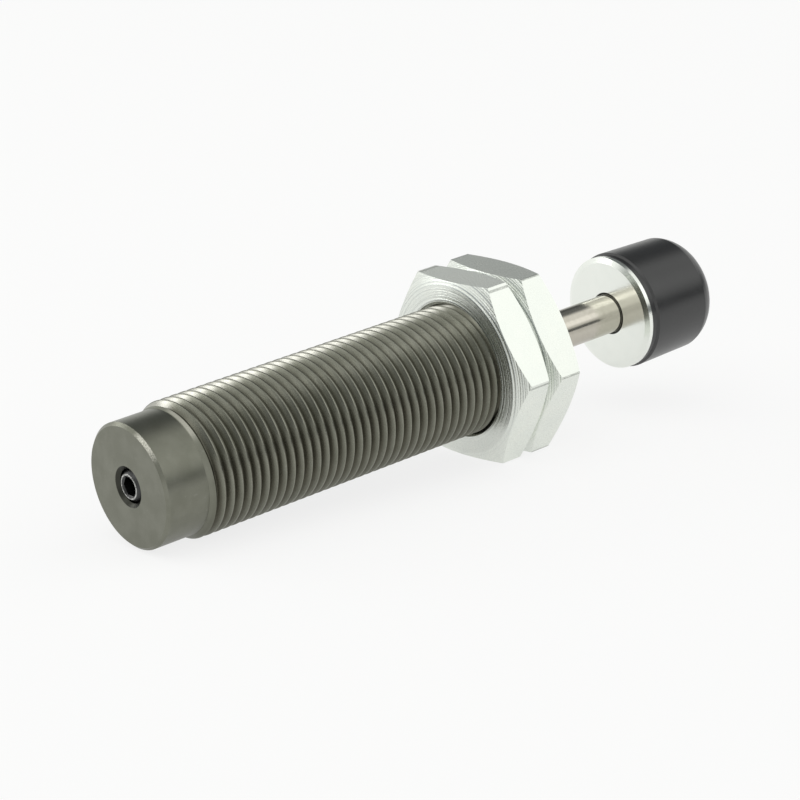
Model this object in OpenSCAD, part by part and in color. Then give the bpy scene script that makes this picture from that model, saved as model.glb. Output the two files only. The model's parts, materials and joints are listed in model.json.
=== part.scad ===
// Hydraulic shock absorber: a threaded barrel with two lock nuts, a sprung rod and a bumper cap.
// Everything lies along X. The origin is the centre of the barrel's rear face, and the rod leaves towards +X.
// Sizes are millimetres. The barrel's thread is drawn as equal rings, and the pieces on it clear its crests.

/* [Barrel] */
// Length of the barrel
barrel_length = 73.2; // [60:0.1:120]
// Diameter over the thread's crests
thread_d = 19.75; // [12:0.05:40]
// Diameter of the smooth pilot at the rear
pilot_d = 18.2; // [10:0.1:38]
// Length of the smooth pilot
pilot_length = 6.8; // [2:0.1:20]
// Length of the cone that leads from the pilot to the thread
thread_lead_in = 1.1; // [0.5:0.1:3]
// Pitch of the thread
thread_pitch = 1.5; // [0.5:0.25:3]
// Depth of the thread's grooves
thread_depth = 0.9; // [0.3:0.05:1.8]
// Bevel on the rear edge
rear_bevel = 0.45; // [0.2:0.05:2]
// Bevel on the front edge
front_bevel = 0.9; // [0.2:0.1:2]
// Bore of the barrel
bore_d = 15; // [8:0.1:30]
// Depth of solid metal behind the bore
rear_wall = 9; // [5:0.5:20]

/* [Filling hole] */
// Diameter of the hole's rim in the rear face
port_rim_d = 6; // [4:0.1:10]
// Diameter of the tapped hole
port_d = 5; // [3:0.1:8]
// Depth of the tapped hole, up to the ball's seat
port_depth = 6.6; // [4:0.1:8]
// Diameter of the oil passage behind the ball
passage_d = 2.2; // [1:0.1:3]
// Diameter of the sealing ball
ball_d = 3.5; // [2.5:0.1:4]
// How far the screw sits below the rear face
screw_recess = 0.7; // [0:0.1:2]
// Width of the screw's hexagon socket across its flats
socket_flats = 2.5; // [1.5:0.1:4]
// Depth of the hexagon socket
socket_depth = 2.4; // [1:0.1:3]
// Bevel on the screw's outer edge
screw_bevel = 0.4; // [0.1:0.1:0.8]

/* [Lock nuts] */
// Width of a nut across its flats
nut_flats = 27; // [20:0.5:50]
// Thickness of a nut
nut_thick = 6; // [3:0.05:15]
// Space between the two nuts
nut_space = 0.1; // [0.05:0.05:1]
// Distance from the front nut to the barrel's front edge
nut_inset = 2.4; // [1:0.1:80]
// How far the front nut stands turned against the rear one, in degrees
nut_turn = 2; // [0:1:30]
// Slope of the turned corners, in degrees
nut_slope = 25; // [15:1:35]
// Diameter of the flat ring on a nut's faces, as a share of the width across its flats
nut_ring = 0.95; // [0.85:0.01:0.98]
// Radial room between a nut and the thread's crests
nut_fit = 0.05; // [0.01:0.01:0.1]
// Bevel at the mouths of a nut's bore
nut_mouth = 0.45; // [0.1:0.05:1]

/* [Rod] */
// Stroke of the rod
stroke = 15; // [5:1:50]
// Diameter of the rod
rod_d = 6; // [4:0.5:12]
// Space left between the disc and the barrel at full stroke
stop_space = 2.2; // [0.1:0.1:5]
// Diameter of the threaded spigot in the disc
spigot_d = 5; // [3:0.5:10]
// Length of the threaded spigot
spigot_length = 5.2; // [3:0.1:10]
// Diameter of the rear stud that carries the piston
stud_d = 4; // [2:0.5:6]
// How far the stud stands out of its nut
stud_overrun = 0.2; // [0.1:0.1:1]
// Bevel on the stud's end
stud_bevel = 0.3; // [0.1:0.1:0.8]

/* [Disc and bumper] */
// Diameter of the disc
disc_d = 17.6; // [10:0.1:30]
// Thickness of the disc
disc_thick = 1; // [0.6:0.1:3]
// Radial width of the disc's bevel
disc_bevel = 0.8; // [0.2:0.05:1.5]
// Depth of the disc's bevel
disc_bevel_depth = 0.35; // [0.1:0.05:1]
// Diameter of the hub inside the bumper
hub_d = 10; // [8:0.1:14]
// Length of the hub
hub_length = 6; // [4:0.1:10]
// Depth of the groove that the bumper snaps into
hub_groove = 0.7; // [0.3:0.1:1.5]
// Distance from the disc to that groove
hub_groove_place = 1.5; // [0.5:0.1:4]
// Width of that groove
hub_groove_width = 2.1; // [1:0.1:4]
// Space beyond the spigot's end
spigot_space = 0.2; // [0.1:0.1:1]
// Length of the bumper
bumper_length = 14.3; // [8:0.1:30]
// Diameter of the bumper behind its lip
bumper_d = 18.15; // [12:0.05:30]
// Diameter of the bumper's lip at the disc
lip_d = 17.55; // [12:0.05:30]
// Length of the lip
lip_length = 0.9; // [0.3:0.1:3]
// Bevel on the lip's edge
lip_bevel = 0.15; // [0.05:0.05:0.5]
// Length of the slope behind the lip
lip_step = 0.3; // [0.1:0.1:1]
// Diameter of the bumper where its dome starts
dome_d = 17.7; // [12:0.05:30]
// Distance from the dome's edge to the bumper's flat end
dome_length = 2.9; // [1:0.1:8]
// Radius of the dome's curve
dome_round = 5; // [2:0.1:12]
// Angle by which the dome's edge turns in, in degrees
dome_edge = 15; // [0:1:40]

/* [Pressure tube] */
// Outside diameter of the pressure tube
tube_d = 12.4; // [8:0.1:20]
// Bore of the pressure tube
tube_bore_d = 10; // [6:0.1:16]
// Thickness of its floor
tube_floor = 2; // [1:0.1:5]
// Metering holes, which the piston closes one after another
metering_holes = 6; // [3:1:10]
// Diameter of a metering hole
metering_d = 0.9; // [0.5:0.1:1.5]
// Ports through which the oil flows back
return_ports = 4; // [2:1:6]
// Diameter of a return port
return_port_d = 1.2; // [0.8:0.1:2]

/* [Piston] */
// Length of the bearing's nose, which the piston rests behind
nose_length = 3.2; // [2:0.1:6]
// Space between the piston and the bearing's nose at rest
rest_space = 0.3; // [0.1:0.1:1]
// Length of the piston
piston_length = 5; // [3:0.1:10]
// Radial room between the piston and the pressure tube
piston_fit = 0.02; // [0.01:0.01:0.1]
// Width of the piston ring
ring_width = 1.4; // [0.8:0.1:3]
// Radial thickness of the piston ring
ring_thick = 0.7; // [0.4:0.1:1.5]
// Slit in the piston ring
ring_slit = 0.4; // [0.2:0.1:1]
// Space round the piston ring in its groove
ring_space = 0.1; // [0.05:0.05:0.2]
// Holes through the piston, and as many through the spring seat
valve_holes = 4; // [3:1:6]
// Diameter of the holes through the piston
valve_hole_d = 1.2; // [0.8:0.1:2]
// Radius of the circle that they lie on
valve_hole_r = 3.2; // [2.8:0.1:4]
// Thickness of the check plate
plate_thick = 0.5; // [0.3:0.1:1]
// Width of the check plate outside the holes
plate_rim = 0.5; // [0.3:0.1:1]
// Free travel of the check plate
plate_travel = 0.6; // [0.3:0.1:1]
// Diameter of the spring seat's hub, which guides the check plate
seat_hub_d = 5; // [4.5:0.1:8]
// Thickness of the spring seat's flange
seat_thick = 1; // [0.6:0.1:2]
// Diameter of the holes through the spring seat
seat_hole_d = 1; // [0.6:0.1:2]
// Radius of the circle that they lie on
seat_hole_r = 3.4; // [3:0.1:5]
// Width of the piston nut across its flats
piston_nut_flats = 5.5; // [4:0.1:8]
// Thickness of the piston nut
piston_nut_thick = 2; // [1:0.1:4]

/* [Return spring] */
// Diameter of the spring's wire
wire_d = 0.75; // [0.5:0.05:1.5]
// Diameter of the spring, measured outside
spring_d = 9.2; // [6:0.1:14]
// Turns of the spring, the closed ones included
spring_turns = 8; // [5:1:20]
// Space between the closed turns
turn_space = 0.1; // [0.05:0.05:0.5]
// Steps of each turn
spring_steps = 20; // [12:2:36]
// Sides of the wire
wire_sides = 8; // [6:2:12]

/* [Bearing and seals] */
// Radial room between the rod and its bush
rod_fit = 0.03; // [0.01:0.01:0.1]
// Radial room between the rod and its seals
seal_fit = 0.02; // [0.01:0.01:0.1]
// Radial room between the fixed pieces and what they sit in
bore_fit = 0.05; // [0.02:0.01:0.2]
// Radial room between the rod and the fixed metal that doesn't guide it
rod_space = 0.1; // [0.05:0.05:0.5]
// Length of the bearing's flange
flange_length = 2; // [1:0.1:5]
// Length of the bearing's neck
neck_length = 10; // [6:0.5:30]
// Diameter of the bearing's neck
neck_d = 9.6; // [8:0.1:14]
// Wall of the bearing's nose round the bush
nose_wall = 0.6; // [0.4:0.1:1]
// Oil notches in the flange
notches = 4; // [2:1:6]
// Depth of the oil notches in the flange
notch_depth = 1; // [0.5:0.1:2]
// Width of the oil notches
notch_width = 2.4; // [1:0.1:5]
// Wall of the bronze bush
bush_wall = 0.9; // [0.5:0.1:2]
// Space round the accumulator foam
foam_space = 0.15; // [0.05:0.05:0.5]
// Length of the seal holder
holder_length = 8; // [6:0.5:20]
// Diameter of the seal's pocket
pocket_d = 9.4; // [8:0.1:14]
// Length of the rod seal
seal_length = 2.8; // [2:0.1:6]
// Thickness of the rod seal's lips
seal_lip = 0.5; // [0.3:0.1:1]
// Length of the backup ring
backup_length = 1; // [0.5:0.1:2]
// Length of the wiper
wiper_length = 1.3; // [1:0.1:3]
// Width of the wiper's scraping edge
wiper_edge = 0.3; // [0.2:0.1:1]
// Diameter of the round ring's section
oring_section = 1.4; // [0.8:0.05:3]
// Width of the round ring's groove
oring_groove = 1.8; // [1:0.1:4]
// Length of the front bush
front_bush_length = 4; // [2:0.1:8]
// Bevel at the mouth of the front bush
bush_bevel = 0.6; // [0.2:0.1:1.5]
// Thickness of the retaining ring
clip_thick = 1; // [0.6:0.1:2]
// Depth of the barrel's mouth, up to the retaining ring
mouth_depth = 1.9; // [0.5:0.1:5]
// Depth of the retaining ring's groove
clip_groove = 0.6; // [0.3:0.1:1]
// How far the retaining ring reaches into the bore
clip_reach = 1.3; // [0.8:0.1:3]
// Opening of the retaining ring
clip_opening = 5; // [2:0.5:10]
// Diameter of the retaining ring's two lugs
lug_d = 2.2; // [1:0.1:3]
// Diameter of the hole in a lug
lug_hole_d = 1.1; // [0.5:0.1:2]

/* [Hidden] */
$fn = 96;
cut = 1;  // how far a cutting tool runs past the face that it cuts

bush_front = barrel_length - mouth_depth - clip_thick;
holder_end = bush_front - front_bush_length;
neck_end = holder_end - holder_length;
flange_end = neck_end - neck_length;
tube_end = flange_end - flange_length;
nut_place = barrel_length - nut_inset - 2 * nut_thick - nut_space;
nose_end = tube_end - nose_length;
piston_place = nose_end - rest_space;
piston_back = piston_place - piston_length;
hub_back = piston_back - plate_thick - plate_travel;
seat_back = hub_back - seat_thick;
stud_end = seat_back - piston_nut_thick - stud_overrun;
spring_back = rear_wall + tube_floor;
disc_back = barrel_length + stroke + stop_space;
disc_front = disc_back + disc_thick;
hub_front = disc_front + hub_length;
hub_groove_start = disc_front + hub_groove_place;
hub_groove_end = hub_groove_start + hub_groove_width;
bumper_end = disc_front + bumper_length;
ball_place = port_depth + port_d / 2 - ball_d / 2 * sqrt(2);  // on the seat's 45 degree cone
fixed_r = bore_d / 2 - bore_fit;
ring_place = piston_back + (piston_length - ring_width) / 2;
oring_place = neck_end + seal_length + backup_length + oring_section;
oring_bed_r = bore_d / 2 - oring_section - bore_fit;

STEEL = [0.34, 0.34, 0.31];
ZINC = [0.80, 0.82, 0.80];
CHROME = [0.86, 0.85, 0.83];
BRONZE = [0.72, 0.52, 0.28];
RUBBER = [0.05, 0.05, 0.05];

// turns a profile of [radius, x] points about the X axis
module lathe(profile) {
    rotate([0, 90, 0]) rotate_extrude() polygon(profile);
}

// a plain round bar from x = a to x = b
module bar(r, a, b) {
    translate([a, 0, 0]) rotate([0, 90, 0]) cylinder(r = r, h = b - a);
}

module ring(r_in, r_out, a, b) {
    difference() {
        bar(r_out, a, b);
        bar(r_in, a - cut, b + cut);
    }
}

// a hexagon bar with a flat on top
module hexagon(flats, a, b) {
    translate([a, 0, 0]) rotate([0, 90, 0]) rotate([0, 0, 30])
        cylinder(r = flats / sqrt(3), h = b - a, $fn = 6);
}

// copies its children round the X axis
module around(count) {
    for (i = [0 : count - 1]) rotate([i * 360 / count, 0, 0]) children();
}

// The thread's 60 degree grooves are closed rings, as many as fit between the two end cones
module barrel() {
    r = thread_d / 2;
    pilot_r = pilot_d / 2;
    thread_start = pilot_length + thread_lead_in;
    thread_end = barrel_length - front_bevel;
    grooves = floor((thread_end - thread_start) / thread_pitch);
    half_width = thread_depth * tan(30);
    rear = [[0, 0], [pilot_r - rear_bevel, 0], [pilot_r, rear_bevel], [pilot_r, pilot_length],
        [r, thread_start]];
    thread = [for (i = [0 : grooves - 1]) let (middle = thread_start + (i + 0.5) * thread_pitch)
        each [[r, middle - half_width], [r - thread_depth, middle], [r, middle + half_width]]];
    front = [[r, thread_end], [r - front_bevel, barrel_length], [0, barrel_length]];
    color(STEEL) difference() {
        lathe(concat(rear, thread, front));
        bar(bore_d / 2, rear_wall, barrel_length + cut);
        bar(bore_d / 2 + clip_groove, bush_front, bush_front + clip_thick + bore_fit);
        filling_hole();
    }
}

// countersunk rim, tapped hole, the ball's conical seat and the oil passage
module filling_hole() {
    rim = (port_rim_d - port_d) / 2;
    seat_depth = (port_d - passage_d) / 2;
    lathe([[0, -cut], [port_rim_d / 2, -cut], [port_rim_d / 2, 0], [port_d / 2, rim],
        [port_d / 2, port_depth], [passage_d / 2, port_depth + seat_depth],
        [passage_d / 2, rear_wall + cut], [0, rear_wall + cut]]);
}

module fill_screw() {
    r = port_d / 2 - bore_fit;
    screw_end = ball_place - ball_d / 2;
    color(STEEL) difference() {
        lathe([[0, screw_recess], [r - screw_bevel, screw_recess], [r, screw_recess + screw_bevel],
            [r, screw_end], [0, screw_end]]);
        hexagon(socket_flats, screw_recess - cut, screw_recess + socket_depth);
    }
}

module seal_ball() {
    color(CHROME) translate([ball_place, 0, 0]) sphere(d = ball_d);
}

// Equal holes, each closed when the speed of an even slowdown has dropped by one more equal step
module pressure_tube() {
    color(CHROME) difference() {
        bar(tube_d / 2, rear_wall, tube_end);
        bar(tube_bore_d / 2, rear_wall + tube_floor, tube_end + cut);
        bar(passage_d / 2, rear_wall - cut, rear_wall + tube_floor + cut);
        for (k = [1 : metering_holes]) {
            closed_at = stroke * (1 - pow(1 - k / metering_holes, 2));
            translate([piston_back - closed_at, 0, 0]) rotate([k * 360 / metering_holes, 0, 0])
                cylinder(d = metering_d, h = tube_d);
        }
        around(return_ports) translate([piston_place + return_port_d, 0, 0])
            cylinder(d = return_port_d, h = tube_d);
    }
}

// The end turns lie closed, and the turns between them share what length is left
module return_spring() {
    r = (spring_d - wire_d) / 2;
    start = spring_back + wire_d / 2;
    end = seat_back - wire_d / 2;
    closed = wire_d + turn_space;
    open = (end - start - 2 * closed) / (spring_turns - 2);
    function advance(t) = t < 1 ? closed * t
        : t > spring_turns - 1 ? end - start - closed * (spring_turns - t)
        : closed + open * (t - 1);
    steps = spring_turns * spring_steps;
    function corner(i, j) = i * wire_sides + j % wire_sides;
    wire = [for (i = [0 : steps]) for (j = [0 : wire_sides - 1])
        let (t = i / spring_steps, side = j * 360 / wire_sides, q = r + wire_d / 2 * cos(side))
        [start + advance(t) + wire_d / 2 * sin(side), q * cos(t * 360), q * sin(t * 360)]];
    skin = [for (i = [0 : steps - 1]) for (j = [0 : wire_sides - 1])
        [corner(i, j), corner(i + 1, j), corner(i + 1, j + 1), corner(i, j + 1)]];
    first = [for (j = [0 : wire_sides - 1]) corner(0, j)];
    last = [for (j = [wire_sides - 1 : -1 : 0]) corner(steps, j)];
    color(STEEL) polyhedron(wire, concat(skin, [first, last]));
}

module bearing_housing() {
    bush_r = rod_d / 2 + bush_wall;
    nose_r = bush_r + nose_wall;
    spigot_r = tube_bore_d / 2 - bore_fit;
    spigot_back = tube_end - return_port_d;
    color(STEEL) difference() {
        lathe([[bush_r, nose_end], [nose_r, nose_end], [nose_r, spigot_back], [spigot_r, spigot_back],
            [spigot_r, tube_end], [fixed_r, tube_end], [fixed_r, flange_end], [neck_d / 2, flange_end],
            [neck_d / 2, neck_end], [bush_r, neck_end]]);
        around(notches) translate([tube_end - cut, -notch_width / 2, fixed_r - notch_depth])
            cube([flange_length + 2 * cut, notch_width, 2 * notch_depth]);
    }
}

module rod_bush() {
    color(BRONZE) ring(rod_d / 2 + rod_fit, rod_d / 2 + bush_wall, nose_end, neck_end);
}

module accumulator_foam() {
    color(RUBBER) ring(neck_d / 2 + foam_space, bore_d / 2 - foam_space, flange_end, neck_end - foam_space);
}

// a lip seal, open towards the oil
module rod_seal() {
    r_in = rod_d / 2 + seal_fit;
    r_out = pocket_d / 2 - bore_fit;
    tips = neck_end + seal_lip / 2;
    back = neck_end + seal_length;
    color(RUBBER) lathe([[r_in, tips], [r_in + seal_lip, tips], [(r_in + r_out) / 2, (neck_end + back) / 2],
        [r_out - seal_lip, tips], [r_out, tips], [r_out, back], [r_in, back]]);
}

module backup_ring() {
    a = neck_end + seal_length;
    color(CHROME) ring(rod_d / 2 + seal_fit, pocket_d / 2 - bore_fit, a, a + backup_length);
}

module seal_holder() {
    color(ZINC) difference() {
        ring(rod_d / 2 + rod_space, fixed_r, neck_end, holder_end);
        bar(pocket_d / 2, neck_end - cut, neck_end + seal_length + backup_length);
        bar(pocket_d / 2, holder_end - wiper_length, holder_end + cut);
        ring(oring_bed_r, bore_d, oring_place - oring_groove / 2, oring_place + oring_groove / 2);
    }
}

module holder_oring() {
    color(RUBBER) translate([oring_place, 0, 0]) rotate([0, 90, 0]) rotate_extrude()
        translate([oring_bed_r + oring_section / 2, 0]) circle(d = oring_section);
}

// a scraper lip that leans on the rod at the front
module wiper() {
    a = holder_end - wiper_length;
    r_in = rod_d / 2 + seal_fit;
    r_out = pocket_d / 2 - bore_fit;
    color(RUBBER) lathe([[r_in + wiper_edge, a], [r_out, a], [r_out, holder_end], [r_in, holder_end],
        [r_in, holder_end - wiper_edge]]);
}

module front_bush() {
    r = rod_d / 2;
    color(ZINC) difference() {
        ring(r + rod_space, fixed_r, holder_end, bush_front);
        lathe([[0, bush_front - bush_bevel], [r, bush_front - bush_bevel],
            [r + bush_bevel + cut, bush_front + cut], [0, bush_front + cut]]);
    }
}

// an open spring ring with two lugs for the pliers
module retaining_ring() {
    a = bush_front;
    b = bush_front + clip_thick;
    color(STEEL) difference() {
        union() {
            ring(bore_d / 2 - clip_reach, bore_d / 2 + clip_groove - bore_fit, a, b);
            lugs(lug_d / 2, a, b);
        }
        translate([a - cut, -clip_opening / 2, 0]) cube([clip_thick + 2 * cut, clip_opening, bore_d]);
        lugs(lug_hole_d / 2, a - cut, b + cut);
    }
}

// two bars, one on each side of the opening and just cut by it
module lugs(r, a, b) {
    side = (clip_opening + lug_d) / 2 - bore_fit;
    for (y = [-side, side]) translate([0, y, bore_d / 2 - lug_d]) bar(r, a, b);
}

module piston_rod() {
    r = rod_d / 2;
    stud_r = stud_d / 2;
    color(CHROME) lathe([[0, stud_end], [stud_r - stud_bevel, stud_end], [stud_r, stud_end + stud_bevel],
        [stud_r, piston_place], [r, piston_place], [r, disc_back], [spigot_d / 2, disc_back],
        [spigot_d / 2, disc_back + spigot_length], [0, disc_back + spigot_length]]);
}

module piston() {
    color(STEEL) difference() {
        ring(stud_d / 2, tube_bore_d / 2 - piston_fit, piston_back, piston_place);
        ring(tube_bore_d / 2 - ring_thick - ring_space, tube_bore_d, ring_place - ring_space,
            ring_place + ring_width + ring_space);
        around(valve_holes) translate([0, 0, valve_hole_r])
            bar(valve_hole_d / 2, piston_back - cut, piston_place + cut);
    }
}

module piston_ring() {
    r_out = tube_bore_d / 2 - piston_fit / 2;
    color(BRONZE) difference() {
        ring(r_out - ring_thick, r_out, ring_place, ring_place + ring_width);
        translate([ring_place - cut, -ring_slit / 2, 0]) cube([ring_width + 2 * cut, ring_slit, tube_bore_d]);
    }
}

module check_plate() {
    color(CHROME) ring(seat_hub_d / 2 + bore_fit, valve_hole_r + valve_hole_d / 2 + plate_rim,
        piston_back - plate_thick, piston_back);
}

module spring_seat() {
    color(ZINC) difference() {
        union() {
            bar(seat_hub_d / 2, hub_back, piston_back);
            bar(spring_d / 2, seat_back, hub_back);
        }
        bar(stud_d / 2, seat_back - cut, piston_back + cut);
        around(valve_holes) translate([0, 0, seat_hole_r])
            bar(seat_hole_d / 2, seat_back - cut, hub_back + cut);
    }
}

module piston_nut() {
    color(ZINC) difference() {
        hexagon(piston_nut_flats, seat_back - piston_nut_thick, seat_back);
        bar(stud_d / 2, seat_back - piston_nut_thick - cut, seat_back + cut);
    }
}

// the outline of the hub with its groove, each radius made larger by room
function hub_outline(room) = let (hub = hub_d / 2 + room, neck = hub - hub_groove)
    [[hub, hub_groove_start], [neck, hub_groove_start], [neck, hub_groove_end], [hub, hub_groove_end],
    [hub, hub_front + room], [0, hub_front + room]];

module striker_disc() {
    r = disc_d / 2;
    color(ZINC) difference() {
        lathe(concat([[0, disc_back], [r - disc_bevel, disc_back], [r, disc_back + disc_bevel_depth],
            [r, disc_front], [hub_d / 2, disc_front]], hub_outline(0)));
        bar(spigot_d / 2, disc_back - cut, disc_back + spigot_length + spigot_space);
    }
}

// a slightly tapered bar with a domed far end, hollow for the disc's hub
module bumper_cap() {
    shoulder = disc_front + lip_length;
    dome_start = bumper_end - dome_length;
    dome_x = dome_start - dome_round * sin(dome_edge);
    dome_r = dome_d / 2 - dome_round * cos(dome_edge);
    lip_r = lip_d / 2;
    color(RUBBER) difference() {
        rotate([0, 90, 0]) rotate_extrude() {
            polygon([[0, disc_front], [lip_r - lip_bevel, disc_front], [lip_r, disc_front + lip_bevel],
                [lip_r, shoulder], [bumper_d / 2, shoulder + lip_step], [dome_d / 2, dome_start],
                [dome_r, dome_start], [dome_r, bumper_end], [0, bumper_end]]);
            intersection() {
                translate([dome_r, dome_x]) circle(r = dome_round);
                translate([dome_r, dome_start]) square([dome_round, dome_length]);
            }
        }
        lathe(concat([[0, disc_front - cut], [hub_d / 2 + bore_fit, disc_front - cut]],
            hub_outline(bore_fit)));
    }
}

// a thin hexagon nut whose corners are turned off on both sides
module lock_nut(a) {
    b = a + nut_thick;
    flat_r = nut_ring * nut_flats / 2;
    corner_r = nut_flats / sqrt(3) + cut;
    drop = (corner_r - flat_r) * tan(nut_slope);
    bore_r = thread_d / 2 + nut_fit;
    color(ZINC) difference() {
        intersection() {
            hexagon(nut_flats, a, b);
            lathe([[0, a], [flat_r, a], [corner_r, a + drop], [corner_r, b - drop], [flat_r, b], [0, b]]);
        }
        bar(bore_r, a - cut, b + cut);
        nut_mouth_tool(bore_r, a, 1);
        nut_mouth_tool(bore_r, b, -1);
    }
}

// the bevel at a bore's mouth on the face at x, which the metal lies inward of
module nut_mouth_tool(r, x, inward) {
    lathe([[0, x - inward * cut], [r + nut_mouth + cut, x - inward * cut], [r, x + inward * nut_mouth],
        [0, x + inward * nut_mouth]]);
}

module lock_nut_rear() {
    lock_nut(nut_place);
}

module lock_nut_front() {
    rotate([nut_turn, 0, 0]) lock_nut(nut_place + nut_thick + nut_space);
}

barrel();
fill_screw();
seal_ball();
pressure_tube();
return_spring();
bearing_housing();
rod_bush();
accumulator_foam();
rod_seal();
backup_ring();
seal_holder();
holder_oring();
wiper();
front_bush();
retaining_ring();
piston_rod();
piston();
piston_ring();
check_plate();
spring_seat();
piston_nut();
striker_disc();
bumper_cap();
lock_nut_rear();
lock_nut_front();
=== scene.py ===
"""Looks for the shock absorber: threaded barrel, finishes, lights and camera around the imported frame."""
import json
import math

import bmesh
import bpy
from mathutils import Matrix, Vector


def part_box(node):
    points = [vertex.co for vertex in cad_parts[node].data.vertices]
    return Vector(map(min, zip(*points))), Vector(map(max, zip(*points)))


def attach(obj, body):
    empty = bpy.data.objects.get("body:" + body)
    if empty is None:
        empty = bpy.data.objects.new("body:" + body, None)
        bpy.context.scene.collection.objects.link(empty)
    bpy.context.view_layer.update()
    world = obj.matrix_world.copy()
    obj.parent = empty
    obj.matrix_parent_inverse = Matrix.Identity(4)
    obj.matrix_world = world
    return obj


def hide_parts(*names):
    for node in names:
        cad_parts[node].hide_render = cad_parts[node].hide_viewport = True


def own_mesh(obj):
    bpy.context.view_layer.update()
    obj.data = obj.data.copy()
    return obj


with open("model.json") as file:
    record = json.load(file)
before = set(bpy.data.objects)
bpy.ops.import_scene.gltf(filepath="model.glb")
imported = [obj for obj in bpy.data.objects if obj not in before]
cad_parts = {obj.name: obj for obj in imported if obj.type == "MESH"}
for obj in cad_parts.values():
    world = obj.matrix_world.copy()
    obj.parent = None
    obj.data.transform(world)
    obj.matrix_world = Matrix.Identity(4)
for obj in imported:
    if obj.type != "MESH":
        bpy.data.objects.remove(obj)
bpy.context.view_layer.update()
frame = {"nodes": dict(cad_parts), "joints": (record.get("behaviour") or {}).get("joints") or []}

MM = 0.001
SEGMENTS = 96                   # steps round a turned piece

PITCH = 1.5 * MM
THREAD_DEPTH = 0.9 * MM
THREAD_PHASE = 0.2              # share of the pitch between the pilot's end and a crest on top
SPARE_TURNS = 2                 # turns of thread beyond each end, which the ends cut off
# One pitch as (share of the pitch, share of the depth), from the middle of a crest on
THREAD_PROFILE = [(0.00, 1.00), (0.055, 1.00), (0.075, 0.96), (0.42, 0.05), (0.46, 0.00), (0.54, 0.00),
                  (0.58, 0.05), (0.925, 0.96), (0.945, 1.00)]

PILOT_R = 9.1 * MM
PILOT_END = 6.8 * MM
LEAD_IN = 1.1 * MM              # length of the cone from the pilot to the thread
REAR_BEVEL = 0.45 * MM
PORT_R = 2.5 * MM               # the hole that the fill screw closes
PORT_RIM_R = 3.0 * MM
FRONT_NUT_TURN = 2.0            # degrees from flat side up

REST_SLOPE = math.radians(4.08)             # the part lies on the rear nut and on the first crest
MIDDLE = Vector((49.46, 1.73, -2.44)) * MM  # what the camera looks at and the lamps face


def extent(node, axis):
    """The lowest and highest place of a frame node along an axis."""
    low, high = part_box(node)
    return low[axis], high[axis]


BARREL_END = extent("barrel", 0)[1]
CREST_R = extent("barrel", 2)[1]
ROOT_R = CREST_R - THREAD_DEPTH


# ---------------------------------------------------------------- node wiring

class Wire:
    """One output of a node. Arithmetic on it adds Math nodes."""

    def __init__(self, tree, socket):
        self.tree = tree
        self.socket = socket

    def __add__(self, other):
        return self.tree.math("ADD", self, other)

    def __radd__(self, other):
        return self.tree.math("ADD", other, self)

    def __sub__(self, other):
        return self.tree.math("SUBTRACT", self, other)

    def __rsub__(self, other):
        return self.tree.math("SUBTRACT", other, self)

    def __mul__(self, other):
        return self.tree.math("MULTIPLY", self, other)

    def __rmul__(self, other):
        return self.tree.math("MULTIPLY", other, self)

    def __abs__(self):
        return self.tree.math("ABSOLUTE", self, 0.0)

    def power(self, exponent):
        return self.tree.math("POWER", self, exponent)

    def step(self, low, high):
        """0 below low, 1 above high, smooth between."""
        ramp = self.tree.node("ShaderNodeMapRange", {"interpolation_type": "SMOOTHSTEP"},
                              {"Value": self, "From Min": low, "From Max": high})
        return ramp.wire("Result")

    def band(self, low, high, soft):
        """1 between low and high, 0 outside."""
        return self.step(low - soft, low + soft) * (1.0 - self.step(high - soft, high + soft))


class Node:
    def __init__(self, tree, node):
        self.tree = tree
        self.node = node

    def wire(self, output=0):
        return Wire(self.tree, self.node.outputs[output])


class Tree:
    """The node tree of a material or of the world."""

    def __init__(self, owner):
        owner.use_nodes = True
        self.nodes = owner.node_tree.nodes
        self.links = owner.node_tree.links
        self.nodes.clear()

    def node(self, kind, settings=None, sockets=None):
        """A node of one kind, with its settings set first and its sockets fed after."""
        made = self.nodes.new(kind)
        for name, value in (settings or {}).items():
            setattr(made, name, value)
        for name, value in (sockets or {}).items():
            self.feed(made.inputs[name], value)
        return Node(self, made)

    def feed(self, socket, value):
        if isinstance(value, Wire):
            self.links.new(value.socket, socket)
        elif isinstance(value, tuple) and len(socket.default_value) == 4:
            socket.default_value = (*value, 1.0)[:4]
        else:
            socket.default_value = value

    def math(self, operation, first, second):
        return self.node("ShaderNodeMath", {"operation": operation}, {0: first, 1: second}).wire()

    def mix(self, factor, first, second):
        """A colour between two colours."""
        made = self.node("ShaderNodeMix", {"data_type": "RGBA"}, {0: factor, 6: first, 7: second})
        return made.wire(2)

    def noise(self, place, scale, detail=2.0, roughness=0.5):
        """Cloudy noise in space."""
        sockets = {"Vector": place, "Scale": scale, "Detail": detail, "Roughness": roughness}
        return self.node("ShaderNodeTexNoise", None, sockets).wire()

    def lines(self, place, scale, detail=2.0):
        """Noise that changes only with one number."""
        sockets = {"W": place, "Scale": scale, "Detail": detail}
        return self.node("ShaderNodeTexNoise", {"noise_dimensions": "1D"}, sockets).wire()


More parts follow.
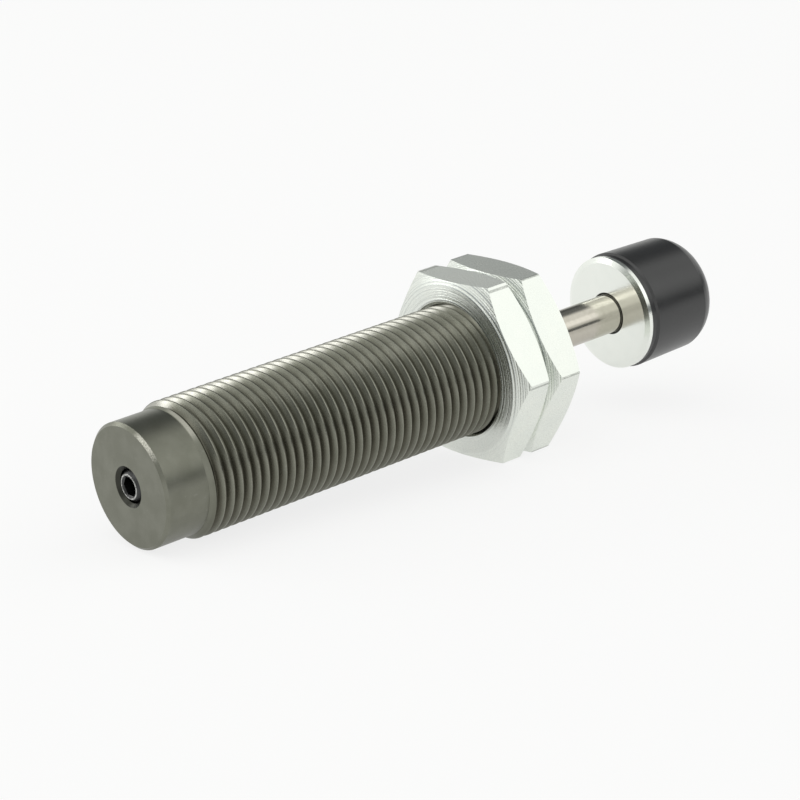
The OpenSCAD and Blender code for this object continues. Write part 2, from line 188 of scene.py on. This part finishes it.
class Finish(Tree):
    """A material with one Principled shader, and the places on the part that it can use.

    x, y, z and radius are in mm. angle is in degrees from the top, positive towards -Y.
    facing is 1 on a face square to X and 0 on one along it.
    """

    def __init__(self, name):
        self.material = bpy.data.materials.new(name)
        super().__init__(self.material)
        place = self.node("ShaderNodeTexCoord").wire("Object")
        scaled = self.node("ShaderNodeVectorMath", {"operation": "SCALE"}, {0: place, "Scale": 1 / MM})
        self.place = scaled.wire()
        split = self.node("ShaderNodeSeparateXYZ", None, {0: self.place})
        self.x, self.y, self.z = (split.wire(i) for i in range(3))
        self.radius = (self.y * self.y + self.z * self.z).power(0.5)
        self.angle = self.math("ARCTAN2", 0.0 - self.y, self.z) * (180 / math.pi)
        normal = self.node("ShaderNodeTexCoord").wire("Normal")
        self.facing = abs(self.node("ShaderNodeSeparateXYZ", None, {0: normal}).wire(0))

    def bump(self, height, distance, strength=1.0, normal=None):
        """A normal raised by a height, on top of another normal where one is given."""
        sockets = {"Height": height, "Distance": distance, "Strength": strength}
        if normal:
            sockets["Normal"] = normal
        return self.node("ShaderNodeBump", None, sockets).wire()

    def close(self, **inputs):
        """Adds the shader. Names are the shader's inputs, with _ for a space."""
        named = {name.replace("_", " "): value for name, value in inputs.items()}
        shader = self.node("ShaderNodeBsdfPrincipled", None, named)
        self.node("ShaderNodeOutputMaterial", None, {"Surface": shader.wire()})
        return self.material


# ---------------------------------------------------------------- finishes

def nitrided_steel():
    """Dark olive steel with painted light: painted shade in the grooves, on the lower flanks and in the
    port, a painted highlight on the flanks and painted shade on the crests near the top, a painted
    highlight on the rear bevel and the lead-in, and crests rubbed light with a painted highlight along
    them.
    """
    f = Finish("nitrided steel")
    crest_r = CREST_R / MM
    root_r = ROOT_R / MM
    pilot_r = PILOT_R / MM
    pilot_end = PILOT_END / MM
    rear_bevel = REAR_BEVEL / MM
    rim_r = PORT_RIM_R / MM

    cloud = f.noise(f.place, 0.35, 4.0)
    grain = f.noise(f.place, 9.0, 3.0, 0.7)
    smudge = f.noise(f.place, 0.9, 5.0, 0.75).step(0.58, 0.72)
    tone = f.mix(cloud.step(0.3, 0.7), (0.185, 0.188, 0.152), (0.215, 0.218, 0.180))
    tone = f.mix(grain.step(0.45, 0.85) * 0.25, tone, (0.30, 0.30, 0.25))
    tone = f.mix(smudge * 0.25, tone, (0.34, 0.34, 0.31))

    thread = f.x.step(pilot_end + 0.4, pilot_end + 1.2)
    # painted shade: the grooves darker towards the root, where shade falls in the thread
    groove = 1.0 - f.radius.step(root_r, crest_r - 0.1)
    tone = f.mix(groove * thread * 0.5, tone, (0.074, 0.069, 0.049))
    # painted shade: the flanks on the lower -Y side darker
    lower_flank_shade = (1.0 - f.radius.step(root_r + 0.3, crest_r)) * thread * f.angle.step(50.0, 85.0)
    tone = f.mix(lower_flank_shade * 0.6, tone, (0.057, 0.051, 0.036))
    upper = f.angle.band(-50.0, 1.0, 7.0) * thread
    crest = f.radius.step(crest_r - 0.14, crest_r - 0.03)
    # painted highlight: the flanks along the top paler
    tone = f.mix(upper * (1.0 - crest) * 0.45, tone, (0.66, 0.65, 0.60))
    # painted shade: the crests along the top darker
    tone = f.mix(upper * crest * 0.8, tone, (0.045, 0.044, 0.036))
    # crests rubbed light, with a painted highlight along them
    rubbed_and_highlit = f.radius.step(crest_r - 0.07, crest_r - 0.01) * grain.step(0.35, 0.65) * 0.45
    tone = f.mix(rubbed_and_highlit, tone, (0.34, 0.33, 0.28))

    bevel = 1.0 - f.x.step(rear_bevel - 0.03, rear_bevel + 0.05)
    bevel = bevel * f.radius.step(pilot_r - rear_bevel - 0.05, pilot_r - rear_bevel + 0.03)
    # painted highlight on the rear bevel's upper -Y side, broken up by the grain
    bevel_highlight = bevel * f.angle.band(22.0, 52.0, 5.0) * grain.step(0.38, 0.58)
    tone = f.mix(bevel_highlight * 0.65, tone, (0.80, 0.78, 0.70))
    # painted highlight: a pale band on the lead-in cone, on the upper -Y side
    lead_in_highlight = f.x.band(pilot_end + 0.02, pilot_end + 0.7, 0.05) * f.angle.band(8.0, 46.0, 6.0)
    lead_in_highlight = lead_in_highlight * f.radius.step(pilot_r + 0.02, pilot_r + 0.1)
    tone = f.mix(lead_in_highlight * (0.3 + grain * 0.5), tone, (0.50, 0.49, 0.43))
    # painted shade: the port round the screw near black
    port_shade = 1.0 - f.radius.step(rim_r - 0.05, rim_r + 0.05)
    tone = f.mix(port_shade * 0.85, tone, (0.02, 0.02, 0.018))

    turned = f.lines(f.x + f.radius, 6.0, 3.0)
    normal = f.bump(turned, 0.012 * MM, 0.5)
    normal = f.bump(grain, 0.012 * MM, 0.4, normal)
    roughness = 0.27 - thread * 0.06 + grain * 0.14
    return f.close(Base_Color=tone, Metallic=1.0, Roughness=roughness, Normal=normal)


def zinc_plate():
    """Bright plating on the nuts: turning marks on the faces, darkened more on the upper -Y side by
    painted shade, smooth flats, painted shade along the corners.
    """
    f = Finish("zinc plate")
    cloud = f.noise(f.place, 0.25, 3.0)
    grain = f.noise(f.place, 6.0, 4.0, 0.65)
    tone = f.mix(cloud, (0.81, 0.845, 0.80), (0.89, 0.91, 0.845))

    face = f.facing.step(0.4, 0.6)
    turned = f.lines(f.radius, 4.0, 5.0)
    coarse = 1.0 - abs(f.angle).step(100.0, 130.0) * 0.75       # the marks are fainter underneath
    # turning marks, darkened more on the upper -Y side by painted shade
    marks_and_shade = turned.step(0.48, 0.66) * face * (0.25 + f.angle.band(5.0, 85.0, 15.0) * 0.55) * coarse
    tone = f.mix(marks_and_shade, tone, (0.30, 0.33, 0.34))

    # 30 at the front nut's corners; the rear nut isn't turned, and its painted corner shade lies beside
    # the corner
    corner = f.math("PINGPONG", f.angle - FRONT_NUT_TURN, 30.0)
    corner_shade = corner.step(29.1, 29.6) * grain.step(0.25, 0.6) * (1.0 - face)
    tone = f.mix(corner_shade * 0.7, tone, (0.20, 0.21, 0.19))

    normal = f.bump(turned, 0.16 * MM, face * coarse * 0.9)
    normal = f.bump(grain, 0.012 * MM, 0.4, normal)
    return f.close(Base_Color=tone, Metallic=1.0, Roughness=0.20 + grain * 0.14, Normal=normal)


def mirror_zinc():
    """Plating on the ground disc, nearly a mirror, with a painted shadow ring round the rod."""
    f = Finish("mirror zinc")
    rod_r = 3.0
    cloud = f.noise(f.place, 0.5, 3.0)
    scratch = f.lines(f.radius, 7.0, 3.0)
    speck = f.noise(f.place, 2.5, 4.0, 0.7).step(0.66, 0.74)
    tone = f.mix(cloud, (0.86, 0.89, 0.84), (0.94, 0.96, 0.91))
    tone = f.mix(speck * 0.35, tone, (0.45, 0.48, 0.42))
    # painted shadow: a dark ring round the rod where it enters the disc
    shadow_ring = f.radius.band(rod_r, rod_r + 0.32, 0.05)
    tone = f.mix(shadow_ring, tone, (0.02, 0.02, 0.015))
    normal = f.bump(scratch, 0.004 * MM, 0.5)
    return f.close(Base_Color=tone, Metallic=1.0, Roughness=0.12 + cloud * 0.10, Normal=normal)


def polished_steel():
    """Ground and polished rod with a warm cast and painted dark reflections in bands along it."""
    f = Finish("polished steel")
    ground = f.lines(f.x, 12.0, 3.0)
    cloud = f.noise(f.place, 1.2, 3.0)
    tone = f.mix(ground, (0.60, 0.565, 0.495), (0.70, 0.665, 0.585))
    tone = f.mix(cloud.step(0.40, 0.80) * 0.2, tone, (0.42, 0.39, 0.32))
    # painted dark reflections along the top, along the -Y side, and a little from there down to the bottom
    dark_reflections = (f.angle.band(-16.0, 10.0, 8.0) * 0.85 + f.angle.band(66.0, 90.0, 6.0) * 0.35
            + f.angle.step(84.0, 96.0) * 0.22)
    tone = f.mix(dark_reflections, tone, (0.16, 0.15, 0.12))
    normal = f.bump(ground, 0.004 * MM, 0.5)
    return f.close(Base_Color=tone, Metallic=1.0, Roughness=0.12 + ground * 0.08, Normal=normal)


def bumper_black():
    """Satin black urethane."""
    f = Finish("bumper black")
    grain = f.noise(f.place, 3.0, 4.0, 0.6)
    cloud = f.noise(f.place, 0.4, 2.0)
    tone = f.mix(cloud, (0.005, 0.005, 0.006), (0.011, 0.011, 0.012))
    normal = f.bump(grain, 0.02 * MM, 0.4)
    return f.close(Base_Color=tone, Roughness=0.24 + grain * 0.12, Normal=normal, IOR=1.7)


def black_oxide():
    """Blackened screw with a bright edge at its socket's rim: rubbed light by the key, with a painted
    highlight along it.
    """
    f = Finish("black oxide")
    grain = f.noise(f.place, 6.0, 4.0, 0.7)
    tone = f.mix(grain, (0.03, 0.03, 0.03), (0.10, 0.10, 0.10))
    rim = f.radius.band(1.62, 1.84, 0.04) * (1.0 - f.x.step(0.2, 0.4))
    # the rim rubbed light, with a painted highlight along it
    rubbed_and_highlit = rim * (0.25 + grain.step(0.42, 0.58) * 0.6)
    tone = f.mix(rubbed_and_highlit, tone, (0.75, 0.75, 0.72))
    normal = f.bump(grain, 0.03 * MM, 0.5)
    return f.close(Base_Color=tone, Metallic=1.0, Roughness=0.25 + grain * 0.2, Normal=normal)


def machined(name, dark, light, metallic, roughness):
    """Turned pieces inside the barrel."""
    f = Finish(name)
    turned = f.lines(f.x + f.radius, 6.0, 3.0)
    grain = f.noise(f.place, 4.0, 3.0)
    tone = f.mix(turned, dark, light)
    normal = f.bump(turned, 0.008 * MM, 0.5)
    return f.close(Base_Color=tone, Metallic=metallic, Roughness=roughness + grain * 0.1, Normal=normal)


# ---------------------------------------------------------------- barrel, screw and spring

def finished_mesh(name, build, finish, sharp):
    """An object from a built mesh, smooth but for edges sharper than an angle in degrees."""
    mesh = bpy.data.meshes.new(name)
    build.to_mesh(mesh)
    build.free()
    mesh.materials.append(finish)
    mesh.shade_smooth()
    made = bpy.data.objects.new(name, mesh)
    bpy.context.collection.objects.link(made)
    mesh.set_sharp_from_angle(angle=math.radians(sharp))
    return made


def threaded_surface(build, start, end, start_cone, end_cone):
    """A right-hand helical strip from start to end, cut down to the two cones."""
    count = len(THREAD_PROFILE)
    turns = int((end - start) / PITCH) + 2 * SPARE_TURNS

    def vertex(step, index):
        turn, point = divmod(index, count)
        share, height = THREAD_PROFILE[point]
        x = start + (turn - SPARE_TURNS + THREAD_PHASE + share + step / SEGMENTS) * PITCH
        x = min(max(x, start), end)
        # the groove runs out up a cone, the lead-in's mirror image
        groove = max(ROOT_R + height * THREAD_DEPTH, start_cone(2 * start - x))
        r = min(groove, start_cone(x), end_cone(x))
        angle = 2 * math.pi * step / SEGMENTS
        return build.verts.new((x, -r * math.sin(angle), r * math.cos(angle)))

    last = turns * count
    columns = [[vertex(step, i) for i in range(last)] for step in range(SEGMENTS)]
    for step in range(SEGMENTS):
        here = columns[step]
        there = columns[(step + 1) % SEGMENTS]
        shift = count if step + 1 == SEGMENTS else 0        # once round is one turn of thread on
        for i in range(last - 1):
            if i + 1 + shift < last:
                build.faces.new((here[i], here[i + 1], there[i + 1 + shift], there[i + shift]))


def hexagon(flats):
    """A hexagon's radius at an angle, for a width across its flats."""
    side = math.pi / 3
    return lambda angle: flats / 2 / math.cos((angle + side / 2) % side - side / 2)


def turned_surface(build, outline):
    """Sweeps (x, radius) points round the X axis. A radius may be a function of the angle."""
    rings = []
    for x, radius in outline:
        if radius == 0:
            rings.append([build.verts.new((x, 0, 0))] * SEGMENTS)
            continue
        ring = []
        for step in range(SEGMENTS):
            angle = 2 * math.pi * step / SEGMENTS
            r = radius(angle) if callable(radius) else radius
            ring.append(build.verts.new((x, -r * math.sin(angle), r * math.cos(angle))))
        rings.append(ring)
    for low, high in zip(rings, rings[1:]):
        for step in range(SEGMENTS):
            n = (step + 1) % SEGMENTS
            corners = [low[step], high[step], high[n], low[n]]
            kept = [c for k, c in enumerate(corners) if c not in corners[:k]]
            if len(kept) > 2:
                build.faces.new(kept)


def make_barrel(finish):
    """The barrel with its real thread, in place of the plain one."""
    front_bevel = 0.9 * MM
    port_rim = 0.5 * MM
    seat_start = 6.6 * MM
    seat_end = 8.0 * MM
    passage_r = 1.1 * MM
    bore_start = 9.0 * MM
    bore_r = 7.5 * MM
    groove_start, groove_end = extent("retaining_ring", 0)
    groove_room = 0.05 * MM
    groove_r = extent("retaining_ring", 1)[1] + groove_room
    weld = 0.0005 * MM
    build = bmesh.new()

    def start_cone(x):
        return PILOT_R + (x - PILOT_END) / LEAD_IN * (CREST_R - PILOT_R)

    def end_cone(x):
        return CREST_R - front_bevel + (BARREL_END - x)

    threaded_surface(build, PILOT_END, BARREL_END, start_cone, end_cone)
    turned_surface(build, [
        (bore_start, bore_r), (bore_start, passage_r), (seat_end, passage_r), (seat_start, PORT_R),
        (port_rim, PORT_R), (0, PORT_RIM_R), (0, PILOT_R - REAR_BEVEL), (REAR_BEVEL, PILOT_R),
        (PILOT_END, PILOT_R)])
    turned_surface(build, [
        (BARREL_END, CREST_R - front_bevel), (BARREL_END, bore_r), (groove_end, bore_r),
        (groove_end, groove_r), (groove_start, groove_r), (groove_start, bore_r), (bore_start, bore_r)])
    bmesh.ops.remove_doubles(build, verts=build.verts, dist=weld)
    bmesh.ops.dissolve_degenerate(build, edges=build.edges, dist=weld)
    bmesh.ops.recalc_face_normals(build, faces=build.faces)
    return finished_mesh("threaded_barrel", build, finish, sharp=32)


def make_screw(finish):
    """The fill screw: a cup edge and a countersunk hexagon socket, nearly flush with the rear face."""
    end = extent("fill_screw", 0)[1]
    thread_r = 2.45 * MM
    socket = hexagon(2.6 * MM)
    rim = [(0.10, 1.60), (0.07, 1.66), (0.07, 1.76), (0.12, 1.85), (0.80, 2.35)]
    outline = [(2.9 * MM, 0), (2.3 * MM, socket), (0.30 * MM, socket)]
    outline += [(x * MM, r * MM) for x, r in rim]
    outline += [(0.95 * MM, thread_r), (end, thread_r), (end, 0)]
    build = bmesh.new()
    turned_surface(build, outline)
    bmesh.ops.recalc_face_normals(build, faces=build.faces)
    return finished_mesh("socket_screw", build, finish, sharp=32)


def make_spring(finish):
    """The return spring. Its two end turns lie closed."""
    start, end = extent("return_spring", 0)
    wire_r = 0.375 * MM
    outside_r = 4.6 * MM
    coil_r = outside_r - wire_r     # to the middle of the wire
    closed = 0.85 * MM              # how far a closed turn advances
    turns = 8
    sides = 10
    steps_per_turn = 36
    rise = (end - start - 2 * wire_r - 2 * closed) / (turns - 2)

    def advance(turn):
        if turn < 1:
            return closed * turn
        return closed + rise * min(turn - 1, turns - 2) + closed * max(turn - turns + 1, 0)

    build = bmesh.new()
    rings = []
    for step in range(turns * steps_per_turn + 1):
        turn = step / steps_per_turn
        angle = 2 * math.pi * turn
        ring = []
        for k in range(sides):
            side = 2 * math.pi * k / sides
            x = start + wire_r + advance(turn) + wire_r * math.sin(side)
            r = coil_r + wire_r * math.cos(side)
            ring.append(build.verts.new((x, r * math.cos(angle), r * math.sin(angle))))
        rings.append(ring)
    for low, high in zip(rings, rings[1:]):
        for k in range(sides):
            n = (k + 1) % sides
            build.faces.new((low[k], high[k], high[n], low[n]))
    build.faces.new(rings[0])
    build.faces.new(rings[-1])
    bmesh.ops.recalc_face_normals(build, faces=build.faces)
    return finished_mesh("coil_spring", build, finish, sharp=50)


# ---------------------------------------------------------------- stage, lights and camera

def rest_frame():
    """The floor's place and tilt: it touches the rear nut's lower edge and the thread's first crest."""
    nut_x = extent("lock_nut_rear", 0)[0]
    nut_z = extent("lock_nut_rear", 2)[0]
    return Matrix.Translation((nut_x, 0, nut_z)) @ Matrix.Rotation(REST_SLOPE, 4, "Y")


def whiteness(tree):
    """How far the floor shows as plain white: most to the camera, less where metal mirrors it."""
    path = tree.node("ShaderNodeLightPath")
    mirrored = tree.math("MAXIMUM", path.wire("Is Glossy Ray"), path.wire("Is Transmission Ray"))
    return tree.math("MAXIMUM", path.wire("Is Camera Ray") * 0.80, mirrored * 0.55)


def floor_look():
    """White paper that keeps a soft shadow of the part."""
    floor = bpy.data.materials.new("floor")
    tree = Tree(floor)
    white = tree.node("ShaderNodeEmission", None, {"Color": (1.0, 1.0, 1.0), "Strength": 1.0})
    paper = tree.node("ShaderNodeBsdfDiffuse", None, {"Color": (0.95, 0.95, 0.94)})
    both = tree.node("ShaderNodeMixShader", None, {0: whiteness(tree), 1: paper.wire(), 2: white.wire()})
    tree.node("ShaderNodeOutputMaterial", None, {"Surface": both.wire()})
    return floor


def make_floor():
    """The floor, a hair below the part so that nothing cuts into it."""
    reach = 1.2
    hair = 0.05 * MM
    build = bmesh.new()
    bmesh.ops.create_grid(build, x_segments=1, y_segments=1, size=reach)
    floor = finished_mesh("floor", build, floor_look(), sharp=30)
    floor.matrix_world = rest_frame() @ Matrix.Translation((0, 0, -hair))


def make_world():
    """A white studio with three dark flags, which the metal mirrors; the camera sees it plain white."""
    world = bpy.data.worlds.new("studio")
    bpy.context.scene.world = world
    tree = Tree(world)
    direction = tree.node("ShaderNodeTexCoord").wire("Generated")
    seen = tree.node("ShaderNodeLightPath").wire("Is Camera Ray")

    def around(centre, edge, middle):
        """1 near one direction, 0 away from it; edge and middle are cosines."""
        near = tree.node("ShaderNodeVectorMath", {"operation": "DOT_PRODUCT"},
                         {0: direction, 1: tuple(Vector(centre).normalized())}).wire("Value")
        return near.step(edge, middle)

    height = tree.node("ShaderNodeSeparateXYZ", None, {0: direction}).wire(2)
    overhead = 1.0 - around((0.587, 0.49, 0.645), 0.83, 0.97) * 0.85
    behind = 1.0 - around((-0.98, 0.0, 0.05), 0.79, 0.96) * 0.80
    front = 1.0 - height.band(-0.10, 0.16, 0.05) * around((0.59, -0.81, 0.0), 0.35, 0.75) * 0.85
    room = tree.mix(overhead * behind * front, (0.02, 0.03, 0.035), (0.93, 0.94, 0.92))
    colour = tree.mix(seen, room, (1.0, 1.0, 1.0))
    back = tree.node("ShaderNodeBackground", None, {"Color": colour, "Strength": 1.0})
    tree.node("ShaderNodeOutputWorld", None, {"Surface": back.wire()})


def soft_box(name, direction, distance, width, height, power):
    """A rectangular lamp that faces the part from one direction."""
    light = bpy.data.lights.new(name, "AREA")
    light.shape = "RECTANGLE"
    light.size = width
    light.size_y = height
    light.energy = power
    made = bpy.data.objects.new(name, light)
    bpy.context.collection.objects.link(made)
    away = Vector(direction).normalized()
    made.location = MIDDLE + away * distance
    made.rotation_euler = away.to_track_quat("Z", "Y").to_euler()


def make_camera(azimuth, elevation, roll, distance, lens):
    """Angles in degrees: where the camera stands as seen from the middle, and its roll."""
    a, e = math.radians(azimuth), math.radians(elevation)
    back = Vector((math.cos(e) * math.cos(a), math.cos(e) * math.sin(a), math.sin(e)))
    right = Vector((0, 0, 1)).cross(back).normalized()
    turn = Matrix((right, back.cross(right), back)).transposed().to_4x4()
    tilt = Matrix.Rotation(math.radians(roll), 4, "Z")
    data = bpy.data.cameras.new("camera")
    data.lens = lens
    data.clip_start = 0.01
    camera = bpy.data.objects.new("camera", data)
    bpy.context.collection.objects.link(camera)
    camera.matrix_world = Matrix.Translation(MIDDLE + back * distance) @ turn @ tilt
    bpy.context.scene.camera = camera


# ---------------------------------------------------------------- putting it together

def paint(finish, *nodes):
    """Gives frame nodes a finish in place of their own."""
    for name in nodes:
        mesh = frame["nodes"][name].data
        mesh.materials.clear()
        mesh.materials.append(finish)


barrel = make_barrel(nitrided_steel())
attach(barrel, "barrel")
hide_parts("barrel")

paint(zinc_plate(), "lock_nut_rear", "lock_nut_front")
paint(mirror_zinc(), "striker_disc")
paint(polished_steel(), "piston_rod", "seal_ball")
paint(bumper_black(), "bumper_cap")
screw = make_screw(black_oxide())
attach(screw, "barrel")
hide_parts("fill_screw")

plain_steel = machined("plain steel", (0.30, 0.30, 0.30), (0.42, 0.42, 0.41), 1.0, 0.30)
paint(plain_steel, "pressure_tube", "bearing_housing", "front_bush")
paint(plain_steel, "piston", "check_plate", "spring_seat", "piston_nut")
spring_steel = machined("spring steel", (0.22, 0.22, 0.22), (0.32, 0.32, 0.31), 1.0, 0.30)
paint(spring_steel, "retaining_ring")
spring = make_spring(spring_steel)
spring_start, spring_end = extent("return_spring", 0)
stroke = next(joint for joint in frame["joints"] if joint["name"] == "rod_slide")["range_m"][1]
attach(spring, "barrel")
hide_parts("return_spring")
1 - stroke / (spring_end - spring_start)
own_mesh(spring)

bronze = machined("bronze", (0.50, 0.33, 0.14), (0.64, 0.44, 0.20), 1.0, 0.28)
paint(bronze, "rod_bush", "piston_ring")
holder_alloy = machined("holder alloy", (0.68, 0.69, 0.70), (0.80, 0.81, 0.82), 1.0, 0.28)
paint(holder_alloy, "seal_holder")
seal_black = machined("seal black", (0.010, 0.010, 0.011), (0.022, 0.022, 0.022), 0.0, 0.45)
paint(seal_black, "rod_seal", "holder_oring", "wiper")
backup_white = machined("backup white", (0.78, 0.78, 0.75), (0.86, 0.86, 0.83), 0.0, 0.45)
paint(backup_white, "backup_ring")
foam = machined("foam", (0.015, 0.015, 0.016), (0.04, 0.04, 0.04), 0.0, 0.80)
paint(foam, "accumulator_foam")

make_floor()
make_world()
soft_box("key", (0.59, -0.65, 0.48), distance=0.55, width=0.30, height=0.20, power=0.05)
soft_box("rear lamp", (-0.48, 0.78, 0.41), distance=0.60, width=0.26, height=0.11, power=0.28)
soft_box("top lamp", (-0.70, 0.02, 0.70), distance=0.60, width=0.25, height=0.15, power=0.15)
make_camera(azimuth=-128.381, elevation=19.008, roll=-5.614, distance=0.41024, lens=126.30)
bpy.context.scene.view_settings.view_transform = "Standard"
